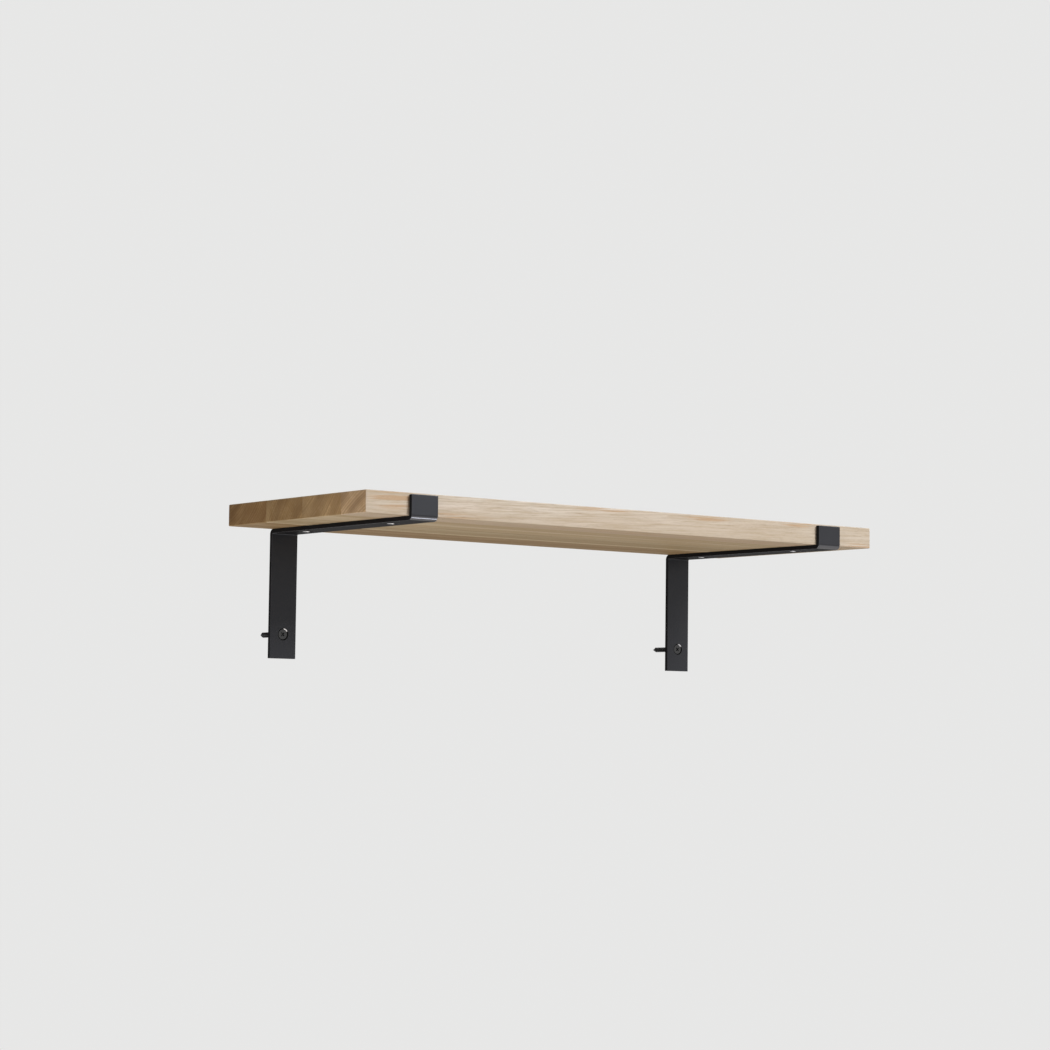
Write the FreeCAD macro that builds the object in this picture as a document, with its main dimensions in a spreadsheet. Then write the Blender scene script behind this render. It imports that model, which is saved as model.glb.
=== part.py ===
import FreeCAD, Part
import os
import Sketcher

# Hanging wall shelf: an edge-glued oak board on two bent flat-steel brackets, screwed to the wall.
# X runs along the wall, the front faces -Y and Z is up.
# The origin is on the wall's surface, midway between the two wall screws.

os.makedirs("parts", exist_ok=True)
doc = FreeCAD.newDocument("hanging_wall_shelf")

# Driving dimensions in millimetres

SIZES = {
    # Board
    "board_length": "600",
    "board_thickness": "20",
    "rear_stave_width": "65",
    "middle_rear_stave_width": "60",
    "middle_front_stave_width": "62",
    "front_stave_width": "38",
    # Brackets: the leg is measured from the board's underside, the lip from the board's top
    "bar_width": "28",
    "bar_thickness": "4",
    "bar_arris": "0.4",
    "bend_radius": "1",
    "bracket_inset": "45",
    "leg_length": "120",
    "lip_drop": "1.5",
    "lip_clearance": "0.2",
    # Places of the screws: the board screws stand back from a glue line of the board
    "wall_screw_rise": "22.5",
    "rear_screw_setback": "21",
    "front_screw_setback": "6",
    # Screws, with their lengths measured from the bar's face
    "screw_diameter": "5",
    "screw_point_length": "4",
    "wall_screw_length": "40",
    "wall_screw_shank": "15",
    "board_screw_length": "16",
    "board_screw_shank": "5",
    "shank_run_out": "1",
    "neck_clearance": "0.2",
    "neck_margin": "0.5",
    "thread_core_diameter": "3.4",
    "thread_pitch": "2.2",
    "thread_base": "1",
    "thread_sink": "0.1",
    "sink_diameter": "11.2",
    "head_diameter": "9.2",
    "head_rim": "0.3",
    "head_clearance": "0.1",
    "recess_span": "4.4",
    "recess_width": "1.1",
    "recess_depth": "1.8",
    "bar_hole_clearance": "0.5",
    "pilot_clearance": "0.1",
    "pilot_end_gap": "1",
}

sheet = doc.addObject("Spreadsheet::Sheet", "Sizes")
for row, (alias, value) in enumerate(SIZES.items(), 1):
    sheet.set("A%d" % row, alias)
    sheet.set("B%d" % row, value)
    sheet.setAlias("B%d" % row, alias)
doc.recompute()

# Derived dimensions, as expressions on the sheet

REAR_GLUE_LINE = "Sizes.rear_stave_width"
MIDDLE_GLUE_LINE = "(%s + Sizes.middle_rear_stave_width)" % REAR_GLUE_LINE
FRONT_GLUE_LINE = "(%s + Sizes.middle_front_stave_width)" % MIDDLE_GLUE_LINE
BOARD_DEPTH = "(%s + Sizes.front_stave_width)" % FRONT_GLUE_LINE
UNDERSIDE = "(Sizes.leg_length - Sizes.wall_screw_rise)"
BRACKET_PLACE = "(Sizes.board_length / 2 - Sizes.bracket_inset - Sizes.bar_width / 2)"
REAR_SCREW_PLACE = "(%s - Sizes.rear_screw_setback)" % REAR_GLUE_LINE
FRONT_SCREW_PLACE = "(%s - Sizes.front_screw_setback)" % FRONT_GLUE_LINE
BAR_HOLE_DIAMETER = "(Sizes.screw_diameter + Sizes.bar_hole_clearance)"
HEAD_SEAT = "((Sizes.sink_diameter - Sizes.head_diameter) / 2 - Sizes.head_clearance)"
HEAD_TOP = "(%s - Sizes.head_rim)" % HEAD_SEAT
PILOT_DIAMETER = "(Sizes.screw_diameter + Sizes.pilot_clearance)"
PILOT_DEPTH = "(Sizes.board_screw_length - Sizes.bar_thickness + Sizes.pilot_end_gap)"

SIDES = {"left": "-", "right": ""}
TOLERANCE_SHARE = 0.0001


def size(expression):
    """The present value of a sheet expression, for drawing and for finding edges."""
    return float(sheet.evalExpression(expression.replace("Sizes.", "")))


def new_body(name):
    body = doc.addObject("PartDesign::Body", name)
    body.Label = name
    return body


def new_sketch(body, name, plane):
    """An empty sketch on one of the body's own origin planes."""
    sketch = body.newObject("Sketcher::SketchObject", name)
    support = [feature for feature in body.Origin.OriginFeatures if feature.Role == plane]
    sketch.AttachmentSupport = [(support[0], "")]
    sketch.MapMode = "FlatFace"
    return sketch


def sketch_origin():
    """The sketch's own origin, as a geometry number and a point number."""
    return -1, 1


def draw_outline(sketch, points):
    """A closed outline of straight lines; level and upright lines are constrained as such."""
    corners = [FreeCAD.Vector(u, v, 0) for u, v in points]
    count = len(corners)
    for index in range(count):
        sketch.addGeometry(Part.LineSegment(corners[index], corners[(index + 1) % count]))
    for index in range(count):
        following = (index + 1) % count
        sketch.addConstraint(Sketcher.Constraint("Coincident", index, 2, following, 1))
        if points[index][1] == points[following][1]:
            sketch.addConstraint(Sketcher.Constraint("Horizontal", index))
        elif points[index][0] == points[following][0]:
            sketch.addConstraint(Sketcher.Constraint("Vertical", index))


def dimension(sketch, kind, references, expression):
    """A sketch dimension bound to the sheet."""
    index = sketch.addConstraint(Sketcher.Constraint(kind, *references, size(expression)))
    sketch.setExpression("Constraints[%d]" % index, expression)


def offset(sketch, direction, point, expression):
    """How far a point lies from the sketch's origin: to the right, to the left or below."""
    kind = "DistanceX" if direction in ("right", "left") else "DistanceY"
    origin = sketch_origin()
    ends = (*origin, *point) if direction == "right" else (*point, *origin)
    dimension(sketch, kind, ends, expression)


def hold_on_axis(sketch, point):
    """Keeps a point on the sketch's upright axis."""
    sketch.addConstraint(Sketcher.Constraint("PointOnObject", *point, -2))


def draw_rectangle(sketch, width, height):
    """A rectangle centred on the sketch's origin."""
    across = size(width) / 2
    up = size(height) / 2
    draw_outline(sketch, [(-across, -up), (across, -up), (across, up), (-across, up)])
    sketch.addConstraint(Sketcher.Constraint("Symmetric", 0, 1, 2, 1, *sketch_origin()))
    dimension(sketch, "DistanceX", (0, 1, 0, 2), width)
    dimension(sketch, "DistanceY", (1, 1, 1, 2), height)


def draw_circle(sketch, across, below, diameter):
    """A circle, below the sketch's origin and as far to its side as across says."""
    centre = FreeCAD.Vector(size(across), -size(below), 0)
    circle = sketch.addGeometry(Part.Circle(centre, FreeCAD.Vector(0, 0, 1), size(diameter) / 2))
    dimension(sketch, "Diameter", (circle,), diameter)
    offset(sketch, "below", (circle, 3), below)
    if centre.x == 0:
        hold_on_axis(sketch, (circle, 3))
    elif centre.x > 0:
        offset(sketch, "right", (circle, 3), across)
    else:
        offset(sketch, "left", (circle, 3), "-(%s)" % across)


def pad_both_ways(body, sketch, length):
    pad = body.newObject("PartDesign::Pad", sketch.Name + "_pad")
    pad.Profile = sketch
    pad.SideType = "Symmetric"
    pad.setExpression("Length", length)
    doc.recompute()
    return pad


def cut(body, sketch, depth=None, upwards=False):
    """A pocket of the given depth, or right through both ways, that must take material away."""
    before = body.Shape.Volume
    pocket = body.newObject("PartDesign::Pocket", sketch.Name + "_cut")
    pocket.Profile = sketch
    pocket.Reversed = upwards
    if depth is None:
        pocket.SideType = "Symmetric"
        pocket.Type = "ThroughAll"
    else:
        pocket.setExpression("Length", depth)
    doc.recompute()
    assert body.Shape.Volume < before, "%s cuts nothing" % pocket.Name
    return pocket


def revolve(body, sketch):
    solid = body.newObject("PartDesign::Revolution", sketch.Name + "_turned")
    solid.Profile = sketch
    solid.ReferenceAxis = (sketch, ["V_Axis"])
    doc.recompute()
    return solid


def round_edges(body, name, radius, wanted):
    """Rounds the edges of the body's last feature that the test picks."""
    base = body.Tip
    edges = ["Edge%d" % number for number, edge in enumerate(base.Shape.Edges, 1) if wanted(edge)]
    assert edges, "%s finds no edges" % name
    fillet = body.newObject("PartDesign::Fillet", name)
    fillet.Base = (base, edges)
    fillet.setExpression("Radius", radius)
    doc.recompute()
    return fillet


def place(body, x, y, z, tilt=0):
    """Puts the body in the shelf's frame, turned about X by the tilt in degrees."""
    body.Placement = FreeCAD.Placement(FreeCAD.Vector(), FreeCAD.Rotation(FreeCAD.Vector(1, 0, 0), tilt))
    for axis, expression in zip("xyz", (x, y, z)):
        body.setExpression("Placement.Base.%s" % axis, expression)
    doc.recompute()


def is_near(first, second):
    return abs(first - second) < TOLERANCE_SHARE * size("Sizes.board_length")


def make_stave(name, width, rear, setback=None):
    """One stave of the board; its outer edges are eased to the brackets' bend radius."""
    body = new_body(name)
    section = new_sketch(body, name + "_section", "YZ_Plane")
    depth = size(width)
    top = size("Sizes.board_thickness")
    draw_outline(section, [(0, 0), (-depth, 0), (-depth, top), (0, top)])
    section.addConstraint(Sketcher.Constraint("Coincident", 0, 1, *sketch_origin()))
    dimension(section, "Distance", (0,), width)
    dimension(section, "Distance", (1,), "Sizes.board_thickness")
    pad_both_ways(body, section, "Sizes.board_length")

    end = size("Sizes.board_length") / 2
    outer_planes = [("x", -end), ("x", end), ("z", 0), ("z", top)]
    if size(rear) == 0:
        outer_planes.append(("y", 0))
    if is_near(size(rear) + depth, size(BOARD_DEPTH)):
        outer_planes.append(("y", -depth))

    def is_outer_edge(edge):
        bounds = edge.BoundBox
        lowest = {"x": bounds.XMin, "y": bounds.YMin, "z": bounds.ZMin}
        highest = {"x": bounds.XMax, "y": bounds.YMax, "z": bounds.ZMax}
        on_planes = [is_near(lowest[axis], at) and is_near(highest[axis], at) for axis, at in outer_planes]
        return sum(on_planes) >= 2

    round_edges(body, name + "_easing", "Sizes.bend_radius", is_outer_edge)
    if setback:
        holes = new_sketch(body, name + "_pilots", "XY_Plane")
        for sign in SIDES.values():
            draw_circle(holes, sign + BRACKET_PLACE, "%s - %s" % (width, setback), PILOT_DIAMETER)
        cut(body, holes, PILOT_DEPTH, upwards=True)
    place(body, "0", "-%s" % rear, UNDERSIDE)
    return body


def sink(body, name, along, above, axis):
    """A countersink in the bar, turned about a hole's axis from the hole's place on the bar's face."""
    before = body.Shape.Volume
    section = new_sketch(body, name, "YZ_Plane")
    section.setExpression("AttachmentOffset.Base.x", along)
    section.setExpression("AttachmentOffset.Base.y", above)
    radius = size("Sizes.sink_diameter / 2")
    draw_outline(section, [(0, 0), (radius, 0), (0, radius)])
    section.addConstraint(Sketcher.Constraint("Coincident", 0, 1, *sketch_origin()))
    dimension(section, "Distance", (0,), "Sizes.sink_diameter / 2")
    dimension(section, "Distance", (2,), "Sizes.sink_diameter / 2")
    cone = body.newObject("PartDesign::Groove", name + "_turned")
    cone.Profile = section
    cone.ReferenceAxis = (section, [axis])
    doc.recompute()
    assert body.Shape.Volume < before, "%s cuts nothing" % cone.Name
    return cone


def make_bracket(name):
    """A flat bar bent into a wall leg, an arm under the board and a lip up the board's front."""
    body = new_body(name)
    profile = new_sketch(body, name + "_profile", "YZ_Plane")
    arm = "(%s + Sizes.lip_clearance)" % BOARD_DEPTH
    lip = "(Sizes.board_thickness - Sizes.lip_drop)"
    thick = size("Sizes.bar_thickness")
    foot = -size("Sizes.leg_length")
    inside = -size(arm)
    outside = inside - thick
    lip_top = size(lip)
    draw_outline(profile, [
        (0, 0), (0, foot), (-thick, foot), (-thick, -thick),
        (outside, -thick), (outside, lip_top), (inside, lip_top), (inside, 0),
    ])
    profile.addConstraint(Sketcher.Constraint("Coincident", 0, 1, *sketch_origin()))
    dimension(profile, "Distance", (0,), "Sizes.leg_length")
    dimension(profile, "Distance", (1,), "Sizes.bar_thickness")
    dimension(profile, "DistanceY", (4, 1, 7, 1), "Sizes.bar_thickness")
    dimension(profile, "Distance", (5,), "Sizes.bar_thickness")
    dimension(profile, "Distance", (6,), lip)
    dimension(profile, "Distance", (7,), arm)
    pad_both_ways(body, profile, "Sizes.bar_width")

    def is_bend(corners):
        def test(edge):
            middle = edge.CenterOfMass
            on_corner = [is_near(middle.y, y) and is_near(middle.z, z) for y, z in corners]
            return is_near(middle.x, 0) and any(on_corner)
        return test

    outer_bends = is_bend([(0, 0), (outside, -thick)])
    inner_bends = is_bend([(-thick, -thick), (inside, 0)])
    round_edges(body, name + "_outer_bends", "Sizes.bend_radius + Sizes.bar_thickness", outer_bends)
    round_edges(body, name + "_inner_bends", "Sizes.bend_radius", inner_bends)

    side = size("Sizes.bar_width") / 2

    def is_arris(edge):
        bounds = edge.BoundBox
        along_side = is_near(bounds.XMin, bounds.XMax) and is_near(abs(bounds.XMin), side)
        at_foot = is_near(bounds.ZMax, foot)
        at_lip_top = is_near(bounds.ZMin, lip_top)
        return along_side or at_foot or at_lip_top

    round_edges(body, name + "_arris", "Sizes.bar_arris", is_arris)

    wall_hole = new_sketch(body, name + "_wall_hole", "XZ_Plane")
    draw_circle(wall_hole, "0", UNDERSIDE, BAR_HOLE_DIAMETER)
    cut(body, wall_hole)
    arm_holes = new_sketch(body, name + "_arm_holes", "XY_Plane")
    draw_circle(arm_holes, "0", REAR_SCREW_PLACE, BAR_HOLE_DIAMETER)
    draw_circle(arm_holes, "0", FRONT_SCREW_PLACE, BAR_HOLE_DIAMETER)
    cut(body, arm_holes)
    sink(body, name + "_wall_sink", "-Sizes.bar_thickness", "-" + UNDERSIDE, "H_Axis")
    sink(body, name + "_rear_sink", "-" + REAR_SCREW_PLACE, "-Sizes.bar_thickness", "V_Axis")
    sink(body, name + "_front_sink", "-" + FRONT_SCREW_PLACE, "-Sizes.bar_thickness", "V_Axis")
    return body


def make_screw(name, length, shank, neck):
    """A countersunk wood screw with a diagonal cross recess and a neck that fills the bar's hole.

    The bar's face is at z = 0, with the head sunk just under it and the point at the bottom.
    """
    body = new_body(name)
    half = new_sketch(body, name + "_half", "XZ_Plane")
    core_radius = "Sizes.thread_core_diameter / 2"
    shank_radius = "Sizes.screw_diameter / 2"
    neck_radius = "(%s - Sizes.neck_clearance) / 2" % BAR_HOLE_DIAMETER
    head_radius = "Sizes.head_diameter / 2"
    neck_start = "%s + %s - %s" % (HEAD_SEAT, head_radius, neck_radius)
    core = size(core_radius)
    plain = size(shank_radius)
    thick = size(neck_radius)
    head = size(head_radius)
    top = -size(HEAD_TOP)
    seat = -size(HEAD_SEAT)
    cone_end = -size(neck_start)
    tip = -size(length)
    point = tip + size("Sizes.screw_point_length")
    neck_end = -size(neck)
    shank_end = -size(shank)
    thread_end = shank_end - size("Sizes.shank_run_out")
    draw_outline(half, [
        (0, top), (0, tip), (core, point), (core, thread_end), (plain, shank_end),
        (plain, neck_end), (thick, neck_end), (thick, cone_end), (head, seat), (head, top),
    ])
    hold_on_axis(half, (0, 1))
    offset(half, "below", (0, 1), HEAD_TOP)
    offset(half, "below", (1, 1), length)
    dimension(half, "DistanceY", (1, 1, 1, 2), "Sizes.screw_point_length")
    offset(half, "right", (2, 1), core_radius)
    dimension(half, "DistanceY", (3, 1, 3, 2), "Sizes.shank_run_out")
    offset(half, "below", (4, 1), shank)
    offset(half, "right", (4, 1), shank_radius)
    offset(half, "below", (5, 1), neck)
    offset(half, "below", (7, 1), neck_start)
    offset(half, "right", (7, 1), neck_radius)
    offset(half, "below", (8, 1), HEAD_SEAT)
    offset(half, "right", (8, 1), head_radius)
    revolve(body, half)

    wings = (("Sizes.recess_span", "Sizes.recess_width"), ("Sizes.recess_width", "Sizes.recess_span"))
    for number, (across, up) in enumerate(wings, 1):
        wing = new_sketch(body, "%s_wing_%d" % (name, number), "XY_Plane")
        wing.AttachmentOffset = FreeCAD.Placement(FreeCAD.Vector(), FreeCAD.Rotation(45, 0, 0))
        wing.setExpression("AttachmentOffset.Base.z", "-" + HEAD_TOP)
        draw_rectangle(wing, across, up)
        cut(body, wing, "Sizes.recess_depth")

    tooth = new_sketch(body, name + "_tooth", "XZ_Plane")
    root_radius = core_radius + " - Sizes.thread_sink"
    root = size(root_radius)
    crest_height = point + size("Sizes.thread_base / 2")
    draw_outline(tooth, [(root, point), (plain, crest_height), (root, point + size("Sizes.thread_base"))])
    offset(tooth, "right", (0, 1), root_radius)
    offset(tooth, "right", (1, 1), shank_radius)
    offset(tooth, "below", (0, 1), "%s - Sizes.screw_point_length" % length)
    dimension(tooth, "DistanceY", (0, 1, 1, 1), "Sizes.thread_base / 2")
    dimension(tooth, "DistanceY", (0, 1, 2, 1), "Sizes.thread_base")
    before = body.Shape.Volume
    thread = body.newObject("PartDesign::AdditiveHelix", name + "_thread")
    thread.Profile = tooth
    thread.ReferenceAxis = (tooth, ["V_Axis"])
    thread.Mode = "pitch-height-angle"
    thread.setExpression("Pitch", "Sizes.thread_pitch")
    height = "%s - Sizes.screw_point_length - %s - Sizes.shank_run_out - Sizes.thread_base" % (length, shank)
    thread.setExpression("Height", height)
    doc.recompute()
    assert body.Shape.Volume > before, "%s adds nothing" % thread.Name
    return body


# Board, from the wall to the front

rear_stave = make_stave("rear_stave", "Sizes.rear_stave_width", "0", "Sizes.rear_screw_setback")
middle_rear_stave = make_stave("middle_rear_stave", "Sizes.middle_rear_stave_width", REAR_GLUE_LINE)
middle_front_stave = make_stave(
    "middle_front_stave", "Sizes.middle_front_stave_width", MIDDLE_GLUE_LINE, "Sizes.front_screw_setback")
front_stave = make_stave("front_stave", "Sizes.front_stave_width", FRONT_GLUE_LINE)
pieces = [rear_stave, middle_rear_stave, middle_front_stave, front_stave]

# Brackets with their screws: a wall screw's neck reaches past the bar, a board screw's stops within it

WALL_NECK = "Sizes.bar_thickness + Sizes.neck_margin"
BOARD_NECK = "Sizes.bar_thickness - Sizes.neck_margin"
WALL_SCREW = ("Sizes.wall_screw_length", "Sizes.wall_screw_shank", WALL_NECK)
BOARD_SCREW = ("Sizes.board_screw_length", "Sizes.board_screw_shank", BOARD_NECK)

for side, sign in SIDES.items():
    across = sign + BRACKET_PLACE
    bracket = make_bracket(side + "_bracket")
    place(bracket, across, "0", UNDERSIDE)
    wall_screw = make_screw(side + "_wall_screw", *WALL_SCREW)
    place(wall_screw, across, "-Sizes.bar_thickness", "0", 90)
    pieces += [bracket, wall_screw]
    for end, depth in (("rear", REAR_SCREW_PLACE), ("front", FRONT_SCREW_PLACE)):
        board_screw = make_screw("%s_%s_board_screw" % (side, end), *BOARD_SCREW)
        place(board_screw, across, "-" + depth, UNDERSIDE + " - Sizes.bar_thickness", 180)
        pieces.append(board_screw)

# Checks, then one file for each piece

for item in doc.Objects:
    assert "Invalid" not in item.State and "Error" not in item.State, "%s failed" % item.Name
for piece in pieces:
    assert not piece.Shape.isNull() and piece.Shape.isValid(), "%s has no valid shape" % piece.Label
    assert len(piece.Shape.Solids) == 1, "%s is not one solid" % piece.Label
for piece in pieces:
    piece.Shape.exportStep("parts/%s.step" % piece.Label)
    print(piece.Label, "%.0f cubic millimetres" % piece.Shape.Volume)
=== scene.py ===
import math

import bpy
from mathutils import Matrix, Vector


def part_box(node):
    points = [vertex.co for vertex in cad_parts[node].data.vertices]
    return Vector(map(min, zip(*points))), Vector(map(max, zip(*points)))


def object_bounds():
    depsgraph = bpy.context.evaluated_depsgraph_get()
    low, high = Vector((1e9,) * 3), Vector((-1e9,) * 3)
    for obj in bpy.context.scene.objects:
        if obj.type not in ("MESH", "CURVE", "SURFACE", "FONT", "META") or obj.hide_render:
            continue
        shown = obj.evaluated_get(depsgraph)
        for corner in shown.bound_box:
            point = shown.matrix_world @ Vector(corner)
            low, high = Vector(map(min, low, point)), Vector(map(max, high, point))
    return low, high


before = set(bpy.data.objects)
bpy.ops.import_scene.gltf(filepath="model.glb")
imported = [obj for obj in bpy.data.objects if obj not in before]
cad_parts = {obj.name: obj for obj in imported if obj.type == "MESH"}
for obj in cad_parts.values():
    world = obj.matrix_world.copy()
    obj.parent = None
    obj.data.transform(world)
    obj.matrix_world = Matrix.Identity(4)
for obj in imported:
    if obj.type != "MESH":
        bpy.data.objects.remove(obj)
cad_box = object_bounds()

# Looks of a hanging wall shelf: an oak board of glued staves on two black flat-steel brackets.
# Lengths in metres. X runs along the shelf and the grain, the front faces -Y and Z is up.
# A range gives the value where a mask is 0 and the value where it is 1.
# A share says how strongly a mark colours the wood or the coat. A tint multiplies a tone.

MILLIMETRE = 0.001

# How squarely a surface faces an axis, on rounded edges and on edges that run across a bar
EDGE_RANGE = (0.995, 0.9)
ACROSS_RANGE = (0.55, 0.35)


def colour(red, green, blue):
    return (red, green, blue, 1)


class Graph:
    """The node tree of one material, with a short call for each kind of node it needs."""

    def __init__(self, name):
        self.material = bpy.data.materials.new(name)
        self.material.use_nodes = True
        self.tree = self.material.node_tree
        self.shader = self.tree.nodes["Principled BSDF"]

    def node(self, kind, **settings):
        made = self.tree.nodes.new(kind)
        for name, value in settings.items():
            setattr(made, name, value)
        return made

    def feed(self, socket, value):
        """Links an output to the socket, or sets the socket to a plain value."""
        if isinstance(value, bpy.types.NodeSocket):
            self.tree.links.new(value, socket)
        else:
            socket.default_value = value

    def give(self, name, value):
        """Feeds one input of the material's shader."""
        self.feed(self.shader.inputs[name], value)

    def math(self, operation, *values):
        made = self.node("ShaderNodeMath", operation=operation)
        for socket, value in zip(made.inputs, values):
            self.feed(socket, value)
        return made.outputs["Value"]

    def times(self, first, second):
        return self.math("MULTIPLY", first, second)

    def over(self, value, length):
        return self.math("DIVIDE", value, length)

    def larger(self, first, second):
        return self.math("MAXIMUM", first, second)

    def grow(self, value, factor, start):
        """The value times a factor, added to a start."""
        return self.math("MULTIPLY_ADD", value, factor, start)

    def place(self):
        """The point on the surface, in the shelf's own frame."""
        return self.node("ShaderNodeTexCoord").outputs["Object"]

    def facing(self):
        """The surface's own normal, in the shelf's frame."""
        return self.node("ShaderNodeTexCoord").outputs["Normal"]

    def split(self, vector):
        made = self.node("ShaderNodeSeparateXYZ")
        self.feed(made.inputs["Vector"], vector)
        return made.outputs["X"], made.outputs["Y"], made.outputs["Z"]

    def join(self, x, y, z):
        made = self.node("ShaderNodeCombineXYZ")
        for socket, value in zip(made.inputs, (x, y, z)):
            self.feed(socket, value)
        return made.outputs["Vector"]

    def stretched(self, vector, lengths, shift=(0, 0, 0)):
        """The point counted in the given lengths along each axis, from a shifted start."""
        made = self.node("ShaderNodeMapping")
        self.feed(made.inputs["Vector"], vector)
        made.inputs["Scale"].default_value = [1 / length for length in lengths]
        made.inputs["Location"].default_value = shift
        return made.outputs["Vector"]

    def noise(self, vector, detail=2.0, roughness=0.5):
        made = self.node("ShaderNodeTexNoise")
        self.feed(made.inputs["Vector"], vector)
        made.inputs["Scale"].default_value = 1
        made.inputs["Detail"].default_value = detail
        made.inputs["Roughness"].default_value = roughness
        return made.outputs["Fac"]

    def rise(self, value, start, end):
        """0 below start and 1 above end, smooth in between; the other way round if start is above end."""
        made = self.node("ShaderNodeMapRange", interpolation_type="SMOOTHSTEP")
        self.feed(made.inputs["Value"], value)
        low, high = min(start, end), max(start, end)
        made.inputs["From Min"].default_value = low
        made.inputs["From Max"].default_value = high
        made.inputs["To Min"].default_value = 0 if start < end else 1
        made.inputs["To Max"].default_value = 1 if start < end else 0
        return made.outputs["Result"]

    def between(self, value, low, high):
        """A value from 0 to 1 spread over the range from low to high."""
        made = self.node("ShaderNodeMapRange")
        self.feed(made.inputs["Value"], value)
        made.inputs["To Min"].default_value = low
        made.inputs["To Max"].default_value = high
        return made.outputs["Result"]

    def mix(self, share, first, second, blend="MIX"):
        made = self.node("ShaderNodeMix", data_type="RGBA", blend_type=blend)
        colour_inputs = [socket for socket in made.inputs if socket.type == "RGBA"]
        self.feed(made.inputs["Factor"], share)
        self.feed(colour_inputs[0], first)
        self.feed(colour_inputs[1], second)
        return [socket for socket in made.outputs if socket.type == "RGBA"][0]

    def veil(self, shade, mask, share, paint):
        """Lays a paint over the shade where the mask says, as strongly as the share says."""
        return self.mix(self.times(mask, share), shade, paint)

    def bump(self, height, depth):
        made = self.node("ShaderNodeBump")
        made.inputs["Strength"].default_value = 1
        made.inputs["Distance"].default_value = depth
        self.feed(made.inputs["Height"], height)
        return made.outputs["Normal"]

    def away(self, vector, centre, reach):
        """How far the point is from a centre, with 1 at the reach along each axis."""
        shift = [-place / length for place, length in zip(centre, reach)]
        made = self.node("ShaderNodeVectorMath", operation="LENGTH")
        self.feed(made.inputs[0], self.stretched(vector, reach, shift))
        return made.outputs["Value"]

    def sides(self):
        """How much the surface faces along each axis, either way."""
        return [self.math("ABSOLUTE", side) for side in self.split(self.facing())]

    def on_edge(self):
        """1 on a rounded edge, where the surface faces none of the axes, and 0 on the flat faces."""
        x, y, z = self.sides()
        return self.rise(self.larger(self.larger(x, y), z), *EDGE_RANGE)

    def on_bend(self):
        """1 on an edge that runs across the bar, such as a bend, and 0 on its flats and sides."""
        return self.times(self.on_edge(), self.rise(self.sides()[0], *ACROSS_RANGE))


# Oak: rings round a heart outside the stave, strands and pores along the grain, rays out from the heart

RING_WIDTH = 2.4 * MILLIMETRE
RING_DRIFT = 3
BAND_WIDTH = 8 * MILLIMETRE
BAND_LENGTH = 0.5
END_BAND_WIDTH = 13 * MILLIMETRE
END_BAND_TURN = math.radians(30)
RAY_LENGTH = 8 * MILLIMETRE
RAY_TURN = math.radians(0.17)
WANDER = 6 * MILLIMETRE
PORE_DEPTH = 0.06 * MILLIMETRE

# Where the sapwood starts and where it is full, from the stave's rear
SAPWOOD_START = 9 * MILLIMETRE
SAPWOOD_FULL = 2.25 * MILLIMETRE

# Size of each kind of mark, along the grain and across it
WANDER_LENGTHS = (0.30, 0.06, 0.06)
FLOW_LENGTHS = (0.5, 0.014, 0.014)
LINE_LENGTHS = (0.07, 0.0014, 0.0014)
STRAND_LENGTHS = (0.05, 0.0018, 0.0018)
FIBRE_LENGTHS = (0.022, 0.00035, 0.00035)
PORE_LENGTHS = (0.008, 0.00026, 0.00026)
BLUSH_LENGTHS = (0.05, 0.005, 0.005)
CLOUD_LENGTHS = (0.14, 0.03, 0.03)

BAND_RANGE = (0.3, 0.7)
EARLY_START_RANGE = (0, 0.08)
EARLY_END_RANGE = (0.7, 0.2)
FLOW_RANGE = (0.44, 0.58)
LINE_RANGE = (0.44, 0.55)
STRAND_RANGE = (0.40, 0.64)
PORE_RANGE = (0.58, 0.7)
BLUSH_RANGE = (0.6, 0.8)
CLOUD_RANGE = (0.35, 0.65)
RAY_RANGE = (0.58, 0.72)
STAIN_RANGE = (1, 0.4)
UNDERSIDE_RANGE = (-0.5, -0.9)
END_RANGE = (0.55, 0.9)

BAND_SHARE = 0.8
STREAK_SHARE = 0.45
STREAK_FLAT_SHARE = 0.4
STRAND_SHARE = 0.8
EARLY_SHARE = 0.16
BLUSH_SHARE = 0.4
UNDERSIDE_SHADE_SHARE = 0.55
SAPWOOD_SHARE = 0.9
RAY_SHARE = 0.12
FIBRE_SHARE = 0.22
PORE_SHARE = 0.4
PORE_EARLY_SHARE = 0.8
PORE_LATE_SHARE = 0.2
END_BAND_SHARE = 0.75
END_EARLY_SHARE = 0.38
EDGE_SHARE = 0.3

ROSY_TINT = (1.0, 0.96, 0.94)
TAN_TINT = (0.83, 0.80, 0.74)
BROWN_TINT = (0.66, 0.58, 0.47)
RUDDY_TINT = (0.70, 0.53, 0.38)
SAPWOOD_TINT = (1.18, 1.18, 1.16)
RAY_TINT = (1.1, 1.1, 1.1)
PORE_TINT = (0.36, 0.28, 0.22)
END_BAND_TINT = (0.44, 0.31, 0.20)
END_EARLY_TINT = (0.40, 0.28, 0.18)
EDGE_TINT = (1.1, 1.1, 1.08)

# Painted shade on each stave's end: the light at its front and at its rear, darker towards the rear
END_LIGHTS = (1.0, 0.84)

WOOD_ROUGHNESS = (0.60, 0.74)
PORE_ROUGHNESS = 0.2
WOOD_GLOSS = 0.15
FIBRE_HEIGHT = 0.3

# Ruddy stains on the front stave: the middle of each, and how far it reaches,
# in millimetres along, back and up from the middle of the stave's lower front edge
STAINS = (
    ((-268, 0, 13), (40, 12, 11.5)),
    ((-205, 0, 2), (50, 12, 3.4)),
    ((-38, 0, 17.5), (40, 12, 3.2)),
    ((84, 0, 17.5), (40, 12, 3.6)),
    ((205, 0, 18), (34, 12, 3)),
    ((286, 0, 1.5), (30, 12, 3)),
    ((20, 14, 0), (200, 18, 3)),
    ((170, 22, 0), (130, 22, 3)),
)
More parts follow.
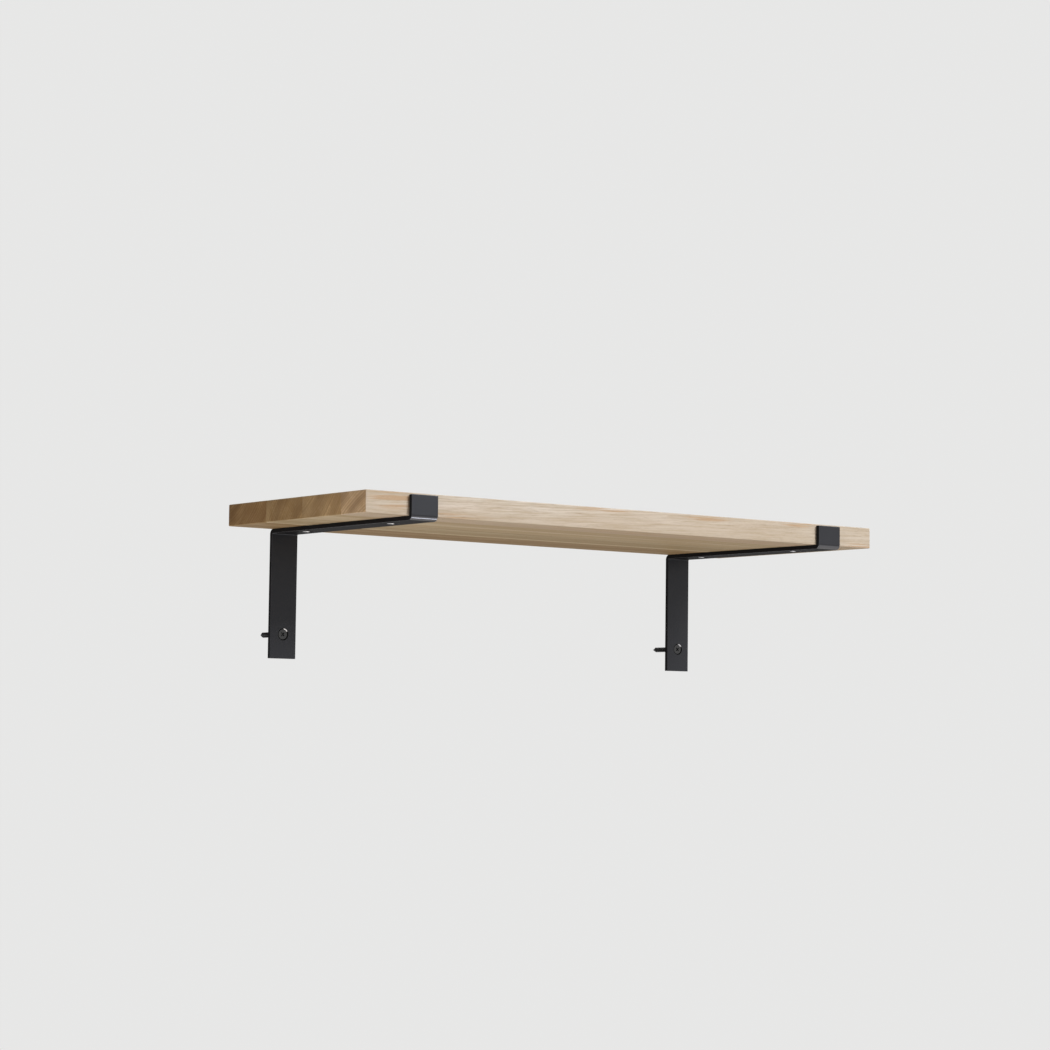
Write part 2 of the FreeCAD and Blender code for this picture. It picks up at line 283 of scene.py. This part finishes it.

# Each stave has its tone, its end's tint, its heart's place from its middle,
# its grain's slope and a pattern of its own
# The tones and end tints darken from the front stave to the rear one: partly the staves' own colours,
# partly painted shade towards the rear
STAVES = {
    "rear_stave": dict(
        tone=(0.40, 0.302, 0.186),
        end_tint=(1.18, 1.06, 0.90),
        heart=(0.055, 0.065),
        slope=(0.012, 0.008),
        pattern=11,
    ),
    "middle_rear_stave": dict(
        tone=(0.52, 0.445, 0.32),
        end_tint=(1.04, 0.86, 0.64),
        heart=(-0.08, -0.07),
        slope=(-0.01, 0.012),
        pattern=23,
    ),
    "middle_front_stave": dict(
        tone=(0.615, 0.535, 0.405),
        end_tint=(1.10, 0.93, 0.72),
        heart=(0.075, 0.08),
        slope=(0.008, -0.012),
        pattern=37,
    ),
    "front_stave": dict(
        tone=(0.70, 0.632, 0.56),
        end_tint=(1.37, 1.16, 0.89),
        heart=(-0.07, -0.10),
        slope=(0.010, -0.032),
        pattern=53,
    ),
}


class Oak(Graph):
    """The wood of one stave, worked out in three dimensions so that its faces and ends agree."""

    def __init__(self, node, tone, end_tint, heart, slope, pattern):
        super().__init__("oak_" + node)
        self.tone = tone
        self.end_tint = end_tint
        self.pattern = pattern
        self.low, self.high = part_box(node)
        self.point = self.place()
        self.x, self.y, self.z = self.split(self.point)
        self.see_from_heart(heart, slope)
        self.mark_rings()
        self.mark_grain()
        shade = self.plain_shade()
        if node == "front_stave":
            shade = self.stained(shade)
        if node == "middle_rear_stave":
            shade = self.with_sapwood(shade)
        self.finish(self.with_fine_marks(shade))

    def tinted(self, tint):
        """The stave's tone times a tint."""
        return colour(*[part * factor for part, factor in zip(self.tone, tint)])

    def see_from_heart(self, heart, slope):
        """Finds the place round the heart, which wanders and slopes along the stave."""
        middle = (Vector(self.low) + Vector(self.high)) / 2
        wander_y = self.noise(self.stretched(self.point, WANDER_LENGTHS, (self.pattern, 0, 0)))
        wander_z = self.noise(self.stretched(self.point, WANDER_LENGTHS, (0, self.pattern, 0)))
        across = []
        ways = zip((self.y, self.z), middle.yz, heart, slope, (wander_y, wander_z))
        for value, centre, offset, lean, wander in ways:
            leaning = self.grow(self.x, lean, value)
            wandering = self.grow(wander, WANDER, leaning)
            across.append(self.math("SUBTRACT", wandering, centre + offset + WANDER / 2))
        squares = [self.math("POWER", value, 2) for value in across]
        self.radius = self.math("SQRT", self.math("ADD", *squares))
        self.turn = self.math("ARCTAN2", across[1], across[0])
        self.grain = self.join(self.x, *across)

    def mark_rings(self):
        """Rings of uneven width, porous at the start of each, in bands of darker and paler years."""
        band = self.over(self.radius, BAND_WIDTH)
        band_noise = self.noise(self.join(band, self.over(self.x, BAND_LENGTH), self.pattern), detail=3)
        self.bands = self.rise(band_noise, *BAND_RANGE)
        ring = self.math("FRACT", self.grow(band_noise, RING_DRIFT, self.over(self.radius, RING_WIDTH)))
        self.early = self.times(self.rise(ring, *EARLY_START_RANGE), self.rise(ring, *EARLY_END_RANGE))

    def along_grain(self, lengths, shift, detail, roughness=0.5):
        """A noise drawn out along the grain, with a start of its own in each stave."""
        start = [self.pattern * step for step in shift]
        return self.noise(self.stretched(self.grain, lengths, start), detail, roughness)

    def mark_grain(self):
        """Streaks, strands, fibres, pores, blushes and clouds along the grain, and rays across it."""
        flow = self.along_grain(FLOW_LENGTHS, (1, 1, 1), detail=3)
        strands = self.along_grain(STRAND_LENGTHS, (0, 1, 1), detail=4, roughness=0.7)
        pores = self.along_grain(PORE_LENGTHS, (0, 0, 1), detail=1)
        blushes = self.along_grain(BLUSH_LENGTHS, (1, 0, 1), detail=3, roughness=0.6)
        clouds = self.along_grain(CLOUD_LENGTHS, (1, 0, 0), detail=3)
        pore_share = self.grow(self.early, PORE_EARLY_SHARE, PORE_LATE_SHARE)
        self.fibres = self.along_grain(FIBRE_LENGTHS, (1, 1, 0), detail=2)
        self.flow = self.rise(flow, *FLOW_RANGE)
        self.strands = self.rise(strands, *STRAND_RANGE)
        self.pores = self.times(self.rise(pores, *PORE_RANGE), pore_share)
        self.blushes = self.rise(blushes, *BLUSH_RANGE)
        self.clouds = self.rise(clouds, *CLOUD_RANGE)
        ray_place = self.join(
            self.over(self.turn, RAY_TURN),
            self.over(self.radius, RAY_LENGTH),
            self.over(self.x, RAY_LENGTH),
        )
        self.rays = self.rise(self.noise(ray_place, detail=1), *RAY_RANGE)

    def plain_shade(self):
        """The wood's broad marks, with stronger streaks on the top and the underside."""
        brown = self.tinted(BROWN_TINT)
        shade = self.mix(self.clouds, colour(*self.tone), self.tinted(ROSY_TINT))
        shade = self.veil(shade, self.bands, BAND_SHARE, self.tinted(TAN_TINT))
        streak_share = self.grow(self.sides()[2], STREAK_FLAT_SHARE, STREAK_SHARE)
        shade = self.veil(shade, self.flow, streak_share, brown)
        shade = self.veil(shade, self.strands, STRAND_SHARE, brown)
        shade = self.veil(shade, self.early, EARLY_SHARE, brown)
        return self.veil(shade, self.blushes, BLUSH_SHARE, self.tinted(RUDDY_TINT))

    def stained(self, shade):
        """Ruddy stains in thin lines, and an underside that is browner and darker: partly the wood's own
        colour, partly painted shade.
        """
        lines = self.rise(self.along_grain(LINE_LENGTHS, (1, 1, 0), detail=2), *LINE_RANGE)
        edge = Vector((0, self.low[1], self.low[2]))
        for middle, reach in STAINS:
            centre = edge + Vector(middle) * MILLIMETRE
            near = self.rise(self.away(self.point, centre, Vector(reach) * MILLIMETRE), *STAIN_RANGE)
            shade = self.veil(shade, near, lines, self.tinted(RUDDY_TINT))
        # Painted shade, partly the wood's own colour: every face of the stave that looks down is browner
        # and darker
        underside = self.rise(self.split(self.facing())[2], *UNDERSIDE_RANGE)
        return self.veil(shade, underside, UNDERSIDE_SHADE_SHARE, self.tinted(BROWN_TINT))

    def with_sapwood(self, shade):
        """A pale strip of sapwood along the rear."""
        rear = self.high[1]
        sapwood = self.rise(self.y, rear - SAPWOOD_START, rear - SAPWOOD_FULL)
        return self.veil(shade, sapwood, SAPWOOD_SHARE, self.tinted(SAPWOOD_TINT))

    def with_fine_marks(self, shade):
        shade = self.veil(shade, self.rays, RAY_SHARE, self.tinted(RAY_TINT))
        shade = self.mix(self.between(self.fibres, 0, FIBRE_SHARE), shade, self.tinted(BROWN_TINT))
        return self.veil(shade, self.pores, PORE_SHARE, self.tinted(PORE_TINT))

    def end_shade(self, shade):
        """The same wood seen on the stave's end, where the rings and their bands show more, with painted
        shade that darkens it towards its rear.
        """
        shade = self.mix(1, shade, colour(*self.end_tint), "MULTIPLY")
        band = self.over(self.radius, END_BAND_WIDTH)
        place = self.join(band, self.over(self.turn, END_BAND_TURN), self.pattern)
        bands = self.rise(self.noise(place, detail=1.5), *BAND_RANGE)
        shade = self.veil(shade, bands, END_BAND_SHARE, self.tinted(END_BAND_TINT))
        shade = self.veil(shade, self.early, END_EARLY_SHARE, self.tinted(END_EARLY_TINT))
        # Painted shade: the end darkens from the stave's front to its rear
        depth = self.over(self.math("SUBTRACT", self.y, self.low[1]), self.high[1] - self.low[1])
        return self.mix(1, shade, self.between(depth, *END_LIGHTS), "MULTIPLY")

    def finish(self, shade):
        end = self.rise(self.sides()[0], *END_RANGE)
        shade = self.mix(end, shade, self.end_shade(shade))
        shade = self.veil(shade, self.on_edge(), EDGE_SHARE, self.tinted(EDGE_TINT))
        self.give("Base Color", shade)
        matt = self.between(self.fibres, *WOOD_ROUGHNESS)
        self.give("Roughness", self.grow(self.pores, PORE_ROUGHNESS, matt))
        self.give("Specular IOR Level", WOOD_GLOSS)
        height = self.math("SUBTRACT", self.times(self.fibres, FIBRE_HEIGHT), self.pores)
        self.give("Normal", self.bump(height, PORE_DEPTH))


# Black powder coat: a fine pebbled skin with a soft gloss, rubbed on the edges, with painted shade in the
# legs' countersinks and bare steel in the countersinks where they catch the light, partly wear and partly a
# painted glint

COAT_GRAIN = 0.6 * MILLIMETRE
COAT_FLECK = 0.16 * MILLIMETRE
COAT_CLOUD = 25 * MILLIMETRE
COAT_DEPTH = 0.02 * MILLIMETRE

# Where the arm's flat ends towards the lip, and how far a mask takes to fade there
ARM_FRONT = -0.215
ARM_MARGIN = 6 * MILLIMETRE

COAT_DARK = colour(0.0115, 0.0117, 0.0134)
COAT_PALE = colour(0.0165, 0.0168, 0.0191)
FLECK_COLOUR = colour(0.03, 0.03, 0.032)
RUBBED_COLOUR = colour(0.035, 0.035, 0.037)
# Painted shade for the legs' countersinks, much darker than the coat
SINK_PAINTED_SHADE = colour(0.003, 0.003, 0.003)
BARE_STEEL = colour(0.6, 0.6, 0.62)
# Painted cool tint on the coat's reflections, standing in for the colour of a cool light
SHEEN_TINT = colour(0.88, 0.90, 1.0)
FLECK_SHARE = 0.4
RUBBED_SHARE = 0.35

FLECK_RANGE = (0.6, 0.8)
RUBBED_RANGE = (0.4, 0.7)
DULL_RANGE = (0.9, 0.99)
LIP_RANGE = (ARM_FRONT, ARM_FRONT - ARM_MARGIN)
BEHIND_LIP_RANGE = (ARM_FRONT, ARM_FRONT + ARM_MARGIN)
BEFORE_LEG_RANGE = (-ARM_MARGIN, -2 * ARM_MARGIN)
LEG_SINK_RANGE = (7.0 * MILLIMETRE, 6.2 * MILLIMETRE)
FACING_DOWN_RANGE = (-0.30, -0.45)
FACING_LEFT_RANGE = (-0.05, -0.20)

# Values on the plain coat and on the lip's bend
COAT_IOR = (1.5, 1.8)
COAT_GLOSS = (0.39, 1)

# Roughness over the coat's grain, and what the dull faces, the lip's bend and the legs' holes add
COAT_ROUGHNESS = (0.30, 0.36)
DULL_ROUGHNESS = 0.2
BEND_ROUGHNESS = -0.24
DULL_GLOSS = -0.378
SINK_GLOSS = -0.36


def leg_holes(graph, x, z, edge):
    """1 on the countersunk holes round the wall screws, which are alike on both sides and at level 0."""
    screw_low, screw_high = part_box("right_wall_screw")
    screw_x = (screw_low[0] + screw_high[0]) / 2
    aside = graph.math("ABSOLUTE", graph.math("SUBTRACT", graph.math("ABSOLUTE", x), screw_x))
    off_centre = graph.larger(aside, graph.math("ABSOLUTE", z))
    return graph.times(graph.rise(off_centre, *LEG_SINK_RANGE), edge)


def powder_coat():
    graph = Graph("black_powder_coat")
    point = graph.place()
    x, y, z = graph.split(point)
    pebbles = graph.noise(graph.stretched(point, (COAT_GRAIN,) * 3), detail=2)
    fleck = graph.noise(graph.stretched(point, (COAT_FLECK,) * 3), detail=1)
    cloud = graph.noise(graph.stretched(point, (COAT_CLOUD,) * 3), detail=3)

    # Where the coat is rubbed, dull, bent round the lip, sunk round a screw, or bare steel placed where the
    # countersinks catch the light from below: partly wear, partly a painted glint
    edge = graph.on_edge()
    bend = graph.on_bend()
    sides = graph.sides()
    facing = graph.split(graph.facing())
    rubbed = graph.times(edge, graph.rise(cloud, *RUBBED_RANGE))
    dull = graph.rise(graph.larger(sides[0], sides[2]), *DULL_RANGE)
    lip_bend = graph.times(bend, graph.rise(y, *LIP_RANGE))
    on_arm = graph.times(graph.rise(y, *BEHIND_LIP_RANGE), graph.rise(y, *BEFORE_LEG_RANGE))
    leg_sinks = leg_holes(graph, x, z, edge)
    facing_down = graph.rise(facing[2], *FACING_DOWN_RANGE)
    upper_right = graph.times(facing_down, graph.rise(facing[0], *FACING_LEFT_RANGE))
    # Bare steel on the down- and left-facing part of each leg countersink and on the arm's countersinks:
    # partly wear, partly a painted glint where the light from below reflects
    wear_and_glint = graph.larger(graph.times(bend, on_arm), graph.times(leg_sinks, upper_right))

    shade = graph.mix(cloud, COAT_DARK, COAT_PALE)
    shade = graph.veil(shade, graph.rise(fleck, *FLECK_RANGE), FLECK_SHARE, FLECK_COLOUR)
    shade = graph.veil(shade, rubbed, RUBBED_SHARE, RUBBED_COLOUR)
    # Painted shade: the legs' countersinks darker than the coat round them
    shade = graph.mix(leg_sinks, shade, SINK_PAINTED_SHADE)
    graph.give("Base Color", graph.mix(wear_and_glint, shade, BARE_STEEL))
    graph.give("Metallic", wear_and_glint)
    graph.give("IOR", graph.between(lip_bend, *COAT_IOR))
    # Painted cool tint on the reflections
    graph.give("Specular Tint", SHEEN_TINT)
    matt = graph.between(graph.math("ADD", cloud, pebbles), *COAT_ROUGHNESS)
    matt = graph.grow(dull, DULL_ROUGHNESS, matt)
    graph.give("Roughness", graph.grow(lip_bend, BEND_ROUGHNESS, matt))
    gloss = graph.grow(dull, DULL_GLOSS, graph.between(lip_bend, *COAT_GLOSS))
    graph.give("Specular IOR Level", graph.grow(leg_sinks, SINK_GLOSS, gloss))
    graph.give("Normal", graph.bump(pebbles, COAT_DEPTH))
    return graph.material


# Blackened screws: a thin black finish, worn here and there towards bare steel

SCREW_GRAIN = 0.35 * MILLIMETRE
SCREW_CLOUD = 3 * MILLIMETRE
SCREW_DEPTH = 0.012 * MILLIMETRE
SCREW_DARK = colour(0.006, 0.006, 0.0065)
SCREW_PALE = colour(0.013, 0.013, 0.014)
SCREW_WORN = colour(0.12, 0.12, 0.125)
WORN_CLOUD_RANGE = (0.58, 0.75)
WORN_GRAIN_RANGE = (0.5, 0.7)
WORN_SHARE = 0.5
WORN_METAL_SHARE = 0.6
SCREW_ROUGHNESS = (0.18, 0.30)
SCREW_GLOSS = 0.75


def screw_black():
    graph = Graph("black_screw")
    point = graph.place()
    grain = graph.noise(graph.stretched(point, (SCREW_GRAIN,) * 3), detail=3)
    cloud = graph.noise(graph.stretched(point, (SCREW_CLOUD,) * 3), detail=3)
    worn = graph.times(graph.rise(cloud, *WORN_CLOUD_RANGE), graph.rise(grain, *WORN_GRAIN_RANGE))
    shade = graph.mix(cloud, SCREW_DARK, SCREW_PALE)
    graph.give("Base Color", graph.veil(shade, worn, WORN_SHARE, SCREW_WORN))
    graph.give("Metallic", graph.times(worn, WORN_METAL_SHARE))
    graph.give("Roughness", graph.between(grain, *SCREW_ROUGHNESS))
    graph.give("Specular IOR Level", SCREW_GLOSS)
    graph.give("Normal", graph.bump(grain, SCREW_DEPTH))
    return graph.material


def wear_material(node, material):
    """Dresses a CAD node in one material."""
    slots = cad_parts[node].data.materials
    slots.clear()
    slots.append(material)


for stave, look in STAVES.items():
    wear_material(stave, Oak(stave, **look).material)
coat = powder_coat()
screws = screw_black()
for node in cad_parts:
    if node.endswith("_bracket"):
        wear_material(node, coat)
    elif node.endswith("_screw"):
        wear_material(node, screws)


# Floor, light and background

FLOOR_SIZE = 400
FLOOR_DROP = 0.95
FLOOR_COLOUR = colour(0.48, 0.425, 0.355)
FLOOR_ROUGHNESS = 0.9
BACKGROUND = colour(0.80, 0.80, 0.795)
NEAR_SHARE = 0.5
FADE_RANGE = (0.8, 5.0)
SKY_COLOUR = colour(1, 0.97, 0.93)
SKY_STRENGTH = 0.11


def make_floor():
    """A pale floor that keeps the shelf's shadow and fades into the background further off."""
    half = FLOOR_SIZE / 2
    level = cad_box[0].z - FLOOR_DROP
    mesh = bpy.data.meshes.new("floor")
    corners = [(x * half, y * half, level) for x, y in ((-1, -1), (1, -1), (1, 1), (-1, 1))]
    mesh.from_pydata(corners, [], [(0, 1, 2, 3)])
    floor = bpy.data.objects.new("floor", mesh)
    bpy.context.scene.collection.objects.link(floor)
    graph = Graph("pale_floor")
    graph.give("Base Color", FLOOR_COLOUR)
    graph.give("Roughness", FLOOR_ROUGHNESS)
    graph.give("Specular IOR Level", 0)
    glow = graph.node("ShaderNodeEmission")
    glow.inputs["Color"].default_value = BACKGROUND
    away = graph.away(graph.place(), (0, 0, level), (1, 1, 1))
    fade = graph.grow(graph.rise(away, *FADE_RANGE), 1 - NEAR_SHARE, NEAR_SHARE)
    path = graph.node("ShaderNodeLightPath")
    seen = graph.larger(path.outputs["Is Camera Ray"], path.outputs["Is Glossy Ray"])
    seen = graph.larger(seen, path.outputs["Is Transmission Ray"])
    choice = graph.node("ShaderNodeMixShader")
    graph.feed(choice.inputs["Fac"], graph.times(seen, fade))
    graph.feed(choice.inputs[1], graph.shader.outputs["BSDF"])
    graph.feed(choice.inputs[2], glow.outputs["Emission"])
    graph.feed(graph.tree.nodes["Material Output"].inputs["Surface"], choice.outputs["Shader"])
    mesh.materials.append(graph.material)


def make_world():
    """An even pale background for what looks at it, and a weaker even light on the object."""
    world = bpy.data.worlds.new("studio")
    bpy.context.scene.world = world
    world.use_nodes = True
    nodes = world.node_tree.nodes
    links = world.node_tree.links
    nodes.clear()
    path = nodes.new("ShaderNodeLightPath")
    seen = path.outputs["Is Camera Ray"]
    for ray in ("Is Glossy Ray", "Is Transmission Ray"):
        either = nodes.new("ShaderNodeMath")
        either.operation = "MAXIMUM"
        links.new(seen, either.inputs[0])
        links.new(path.outputs[ray], either.inputs[1])
        seen = either.outputs["Value"]
    light = nodes.new("ShaderNodeBackground")
    light.inputs["Color"].default_value = SKY_COLOUR
    light.inputs["Strength"].default_value = SKY_STRENGTH
    backdrop = nodes.new("ShaderNodeBackground")
    backdrop.inputs["Color"].default_value = BACKGROUND
    choice = nodes.new("ShaderNodeMixShader")
    links.new(seen, choice.inputs["Fac"])
    links.new(light.outputs["Background"], choice.inputs[1])
    links.new(backdrop.outputs["Background"], choice.inputs[2])
    output = nodes.new("ShaderNodeOutputWorld")
    links.new(choice.outputs["Shader"], output.inputs["Surface"])


def make_softbox(name, place, target, width, height, power, tint):
    """A softbox that looks at the target, with its width as near to along the shelf as it can be."""
    lamp = bpy.data.lights.new(name, "AREA")
    lamp.shape = "RECTANGLE"
    lamp.size = width
    lamp.size_y = height
    lamp.energy = power
    lamp.color = tint
    softbox = bpy.data.objects.new(name, lamp)
    back = (Vector(place) - Vector(target)).normalized()
    along = (Vector((1, 0, 0)) - back * back.x).normalized()
    turn = Matrix((along, back.cross(along), back)).transposed().to_4x4()
    softbox.matrix_world = Matrix.Translation(place) @ turn
    bpy.context.scene.collection.objects.link(softbox)


SHELF_MIDDLE = (cad_box[0] + cad_box[1]) / 2

# The low strip lights the underside, and the low front box draws the bright line on the left lip's bend
SOFTBOXES = {
    "key": dict(
        place=(1.7, -4.1, 2.7),
        target=SHELF_MIDDLE,
        width=2.1,
        height=2.1,
        power=275,
        tint=(0.97, 0.985, 1),
    ),
    "low_strip": dict(
        place=(-0.475, -0.20, -0.94),
        target=(-0.475, -0.18, 0.1),
        width=1.25,
        height=0.22,
        power=1.39,
        tint=(1, 0.94, 0.88),
    ),
    "low_front": dict(
        place=(0.58, -0.66, -0.94),
        target=(0.58, -0.66, 0.1),
        width=0.5,
        height=0.34,
        power=2.1,
        tint=(0.95, 0.96, 1),
    ),
    "low_left": dict(
        place=(-1.2, -0.3, -0.7),
        target=(-0.27, -0.11, 0.0975),
        width=0.5,
        height=0.5,
        power=4.6,
        tint=(1, 0.94, 0.86),
    ),
    "left_fill": dict(
        place=(-2.5, -0.8, 0.6),
        target=SHELF_MIDDLE,
        width=1.0,
        height=1.0,
        power=9.5,
        tint=(1, 0.96, 0.90),
    ),
    "top_fill": dict(
        place=(0.4, 1.6, 2.4),
        target=SHELF_MIDDLE,
        width=1.4,
        height=1.0,
        power=40,
        tint=(1, 0.98, 0.95),
    ),
}

make_floor()
make_world()
for name, softbox in SOFTBOXES.items():
    make_softbox(name, **softbox)


# Camera at the photograph's viewing angle, with its lens and sensor in millimetres

CAMERA_PLACE = Vector((-1.5953, -2.1459, -0.0891))
CAMERA_YAW = math.radians(37.36)
CAMERA_PITCH = math.radians(4.39)
CAMERA_ROLL = math.radians(0.73)
CAMERA_LENS = 93.2
SENSOR_WIDTH = 36


def make_camera():
    level = math.cos(CAMERA_PITCH)
    forward = Vector((math.sin(CAMERA_YAW) * level, math.cos(CAMERA_YAW) * level, math.sin(CAMERA_PITCH)))
    right = Vector((math.cos(CAMERA_YAW), -math.sin(CAMERA_YAW), 0))
    up = right.cross(forward)
    rolled_right = right * math.cos(CAMERA_ROLL) + up * math.sin(CAMERA_ROLL)
    rolled_up = up * math.cos(CAMERA_ROLL) - right * math.sin(CAMERA_ROLL)
    data = bpy.data.cameras.new("camera")
    data.sensor_width = SENSOR_WIDTH
    data.lens = CAMERA_LENS
    camera = bpy.data.objects.new("camera", data)
    turn = Matrix((rolled_right, rolled_up, -forward)).transposed().to_4x4()
    camera.matrix_world = Matrix.Translation(CAMERA_PLACE) @ turn
    bpy.context.scene.collection.objects.link(camera)
    bpy.context.scene.camera = camera


make_camera()
bpy.context.scene.view_settings.view_transform = "Standard"
